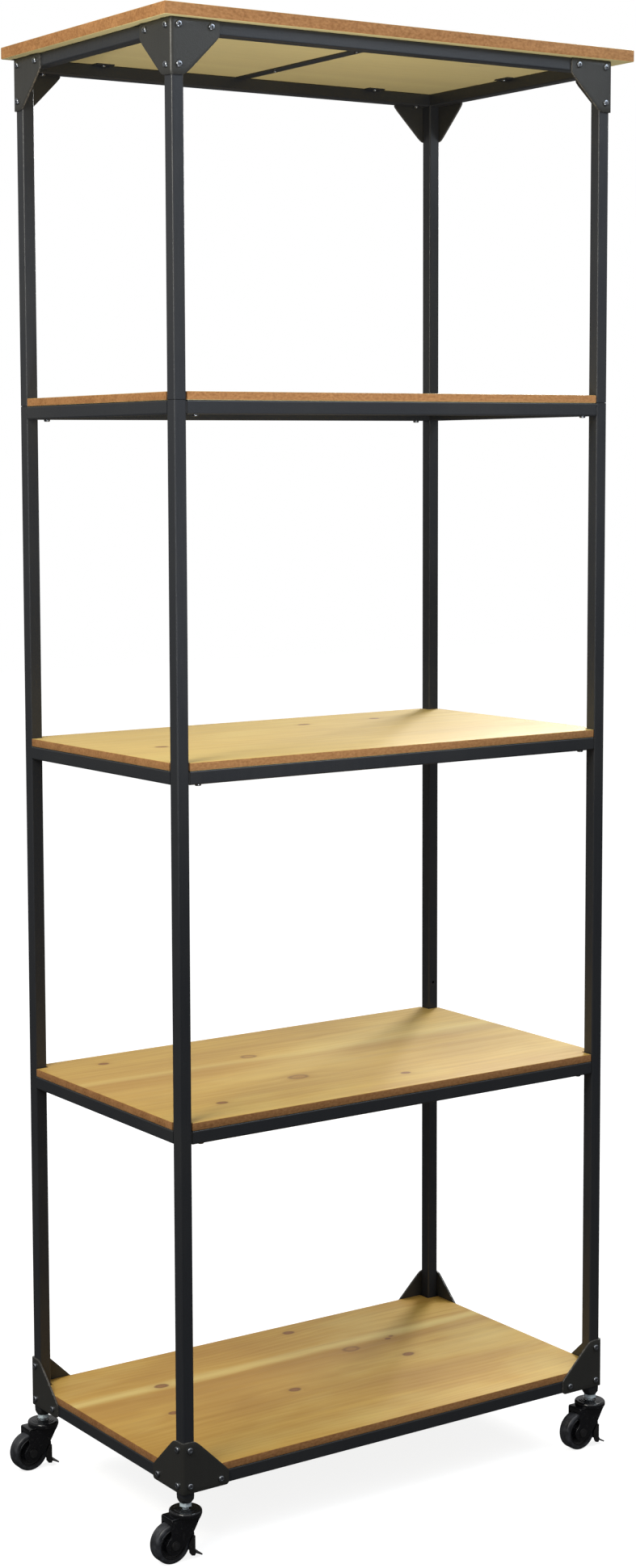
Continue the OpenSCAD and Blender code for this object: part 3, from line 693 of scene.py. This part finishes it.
def headShape(s):
    # the swivel head: concentric ridges round the stem, a rolled rim, and a closed underside
    top, rim, low = s["headTop"], s["head"] / 2, s["forkTop"]
    prof = [(s["bore"], top - 2.0), (8.0, top - 2.0), (8.6, top - 1.6), (9.2, top - 0.3), (9.8, top)]
    # the ridged face falls away outwards as the square of the distance from its inner edge
    out = np.linspace(0, rim - 15.2, 25)
    fall = 0.3 + 0.20 * (1 - np.cos(out * 2.0)) + out ** 2 * 0.02
    prof += list(zip(10.2 + out, top - fall))
    prof += [tuple(p) for p in arcPoints(rim - 3.5, top - 5.0, 3.5, 75, -75, 7)]
    prof += [(rim, low), (rim - 0.5, low - 1.4), (rim - 2.2, low - 2.5), (s["bore"], low - 2.5),
             (s["bore"], top - 2.0)]
    return revolved(np.array(prof) * mm, 64)


def legOutline(s):
    # side view of a fork leg: straight back, round foot about the axle, and a front edge that sweeps up
    # to the head
    front, top = s["head"] / 2 - s["legFront"], s["forkTop"]
    return np.concatenate([
        [[front, top - 0.2]],
        arcPoints(-s["back"] + 2.5, top - 2.7, 2.5, 90, 90, 5),
        [[-s["back"], 46.0], [-s["back"] - 1.6, 42.0], [-s["back"] - 5.6, 37.5]],
        arcPoints(-s["trail"], s["wheel"] / 2, s["leg"], 172, 150, 22),
        [[-4.0, 31.0], [2.0, 38.0], [4.6, 42.4], [8.6, 48.8], [14.0, 58.5], [front, top - 4.0]],
    ]) * mm


def forkShape(s):
    # two legs stand in planes of constant y, a cover joins them at the top, and a lip hangs down at the back
    inner, outer, arris = s["inside"] * mm, (s["inside"] + s["sheet"]) * mm, s["arris"] * mm
    top, sheet = s["forkTop"] * mm, s["sheet"] * mm
    leg = legOutline(s)
    legs = [placed(slab(leg, near, far, arris), standing) for near, far in ((inner, outer), (-outer, -inner))]
    # the cover ends inside the head, clear of the stem
    x0, x1, r = -s["back"] * mm, -s["coverEnd"] * mm, s["coverRound"] * mm
    cover = np.concatenate([arcPoints(x0 + r, -outer + r, r, 180, 90, 5), [[x1, -outer], [x1, outer]],
                            arcPoints(x0 + r, outer - r, r, 90, 90, 5)])
    half, low, high = outer - mm, top - s["lip"] * mm, top - 0.5 * mm
    lip = [(-half, low), (half, low), (half, high), (-half, high)]
    return joined(legs + [slab(cover, top - sheet, top, arris),
                          placed(slab(lip, x0, x0 + sheet, arris), alongX), headShape(s)])


def moved(shape, move):
    return shape[0] + np.array(move), shape[1]


wheel, fork = wheelShape(caster), forkShape(caster)
for key in corners:
    lo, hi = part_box(key + "_wheel")
    tag = tagOf(key)
    axleX, axleZ, y = (lo.x + hi.x) / 2, caster["wheel"] / 2 * mm, (lo.y + hi.y) / 2
    made = addPiece(tag + "Wheel", moved(wheel, (axleX, y, axleZ)), key + "_wheel",
                    [tyreRubber, corePlastic], [key + "_wheel"])
    # faces near the axle get the second material
    mids = np.zeros(len(made.data.polygons) * 3)
    made.data.polygons.foreach_get("center", mids)
    mids = mids.reshape(-1, 3)
    isCore = np.hypot(mids[:, 0] - axleX, mids[:, 2] - axleZ) < caster["core"] * mm
    made.data.polygons.foreach_set("material_index", isCore.astype(np.int32))
    addPiece(tag + "Fork", moved(fork, (axleX + caster["trail"] * mm, y, 0.0)), key + "_swivel",
             [casterEnamel], [key + "_fork"])
print("stage: casters")


def coat(node, mat):
    mesh = nodes[node].data
    mesh.materials.clear()
    mesh.materials.append(mat)


for node in nodes:
    if node.endswith(("_post", "_rails")) or node in ("crossbars", "board_tabs"):
        coat(node, frameCoat)
    elif node in ("post_sleeves", "rail_stubs"):
        coat(node, innerCoat)
    elif node == "post_plugs":
        coat(node, plugPlastic)
    elif node in ("caster_stems", "stem_nuts"):
        coat(node, zincPaintedShine)
    elif node.endswith("_axle"):
        coat(node, axleEnamel)
    elif node.endswith("_brake"):
        coat(node, brakeEnamel)
print("stage: finishes")


# paint, glow and patches are the floor's; the sky's strength climbs from skyLow to skyHigh between the
# slopes low and high
studio = {"floor": 14.0, "paint": 0.35, "glow": 0.85, "patches": 0.02, "backdrop": 1.0,
          "skyLow": 0.07, "skyHigh": 0.44, "low": -0.10, "high": 0.14}


def addFloor():
    # the floor glows a little, so only the shade close to the wheels is seen on it
    f = Finish("floorPaint", Roughness=0.9, Specular_IOR_Level=0.0, Emission_Strength=studio["glow"])
    f.shader.inputs["Emission Color"].default_value = (1, 1, 1, 1)
    tone = f.noise(f.place(), 2.0, 3.0)
    paint = (studio["paint"],) * 3 + (1,)
    f.feed(Base_Color=f.mix(tone * studio["patches"], paint, (0.3, 0.3, 0.3, 1)))
    s = studio["floor"]
    square = [(-s, -s, 0), (s, -s, 0), (s, s, 0), (-s, s, 0)]
    piece, _ = addMesh("floor", square, [(0, 1, 2, 3)], [f.material])
    piece.visible_diffuse = False
    piece.visible_glossy = False


areaLights = {
    "keySoftbox": {"place": (-2.3, -0.8, 2.7), "aim": (-0.2, 0, 1.6), "size": (1.0, 1.0), "power": 54,
                   "colour": (1.0, 0.96, 0.85)},
    "frontSoftbox": {"place": (1.3, -1.6, 3.2), "aim": (0.1, 0, 1.5), "size": (1.2, 0.9), "power": 24,
                     "colour": (0.78, 0.88, 1.0)},
    "rimStrip": {"place": (2.2, 1.6, 3.0), "aim": (0, 0, 1.2), "size": (0.6, 1.6), "power": 75,
                 "colour": (1.0, 1.0, 1.0)},
    "cornerStrip": {"place": (-2.5, -1.8, 1.9), "aim": (0, 0, 1.7), "size": (0.16, 1.5), "power": 9,
                    "colour": (0.9, 0.96, 1.0)},
}
lowSpot = {"place": (-0.6, -1.7, 0.45), "aim": (0, 0, 2.07), "cone": 46, "power": 150, "blend": 0.8,
           "radius": 0.2}
ceiling = {"place": (-0.3, -0.5, 1.4), "strength": 0.55, "spread": 50}


def addLamp(name, data, place, aim):
    lamp = bpy.data.objects.new(name, data)
    bpy.context.scene.collection.objects.link(lamp)
    lamp.location = place
    lamp.rotation_euler = (Vector(aim) - Vector(place)).to_track_quat("-Z", "Y").to_euler()


addFloor()
for name, s in areaLights.items():
    data = bpy.data.lights.new(name, "AREA")
    data.shape, data.size, data.size_y = "RECTANGLE", *s["size"]
    data.energy, data.color = s["power"], s["colour"]
    addLamp(name, data, s["place"], s["aim"])

spot = bpy.data.lights.new("lowSpot", "SPOT")
spot.energy, spot.spot_size = lowSpot["power"], math.radians(lowSpot["cone"])
spot.spot_blend, spot.shadow_soft_size = lowSpot["blend"], lowSpot["radius"]
addLamp("lowSpot", spot, lowSpot["place"], lowSpot["aim"])

sun = bpy.data.lights.new("ceilingLight", "SUN")
sun.energy, sun.angle = ceiling["strength"], math.radians(ceiling["spread"])
addLamp("ceilingLight", sun, ceiling["place"], (0, 0, 0))


def addWorld():
    # the camera sees a white backdrop, and the object is lit from all round by the weaker sky
    world = bpy.data.worlds.new("studioWorld")
    bpy.context.scene.world = world
    world.use_nodes = True
    tree = world.node_tree
    seen = tree.nodes.new("ShaderNodeLightPath").outputs["Is Camera Ray"]
    ways = tree.nodes.new("ShaderNodeSeparateXYZ")
    tree.links.new(tree.nodes.new("ShaderNodeTexCoord").outputs["Generated"], ways.inputs[0])
    soft = tree.nodes.new("ShaderNodeMapRange")
    tree.links.new(ways.outputs[2], soft.inputs["Value"])
    ends = {"From Min": "low", "From Max": "high", "To Min": "skyLow", "To Max": "skyHigh"}
    for socket, key in ends.items():
        soft.inputs[socket].default_value = studio[key]
    strength = tree.nodes.new("ShaderNodeMapRange")
    tree.links.new(seen, strength.inputs["Value"])
    tree.links.new(soft.outputs["Result"], strength.inputs["To Min"])
    strength.inputs["To Max"].default_value = studio["backdrop"]
    tree.nodes["Background"].inputs["Color"].default_value = (1, 1, 1, 1)
    tree.links.new(strength.outputs["Result"], tree.nodes["Background"].inputs["Strength"])


addWorld()
bpy.context.scene.view_settings.view_transform = "Standard"

# metres and degrees; the yaw turns to the right of +Y
view = {"place": (-2.3317, -3.2506, 1.5931), "yaw": 32.787, "pitch": -5.612, "roll": -0.446,
        "lens": 58.82, "film": 36.0, "shift": (0.0822, -0.0442)}


def turned(degrees, axis):
    return Matrix.Rotation(math.radians(degrees), 3, axis)


lens = bpy.data.cameras.new("camera")
lens.lens, lens.sensor_width = view["lens"], view["film"]
lens.shift_x, lens.shift_y = view["shift"]
camera = bpy.data.objects.new("camera", lens)
bpy.context.scene.collection.objects.link(camera)
camera.location = view["place"]
aim = turned(-view["yaw"], "Z") @ turned(90 + view["pitch"], "X") @ turned(view["roll"], "Z")
camera.rotation_euler = aim.to_euler()
bpy.context.scene.camera = camera
print("stage: light and camera")
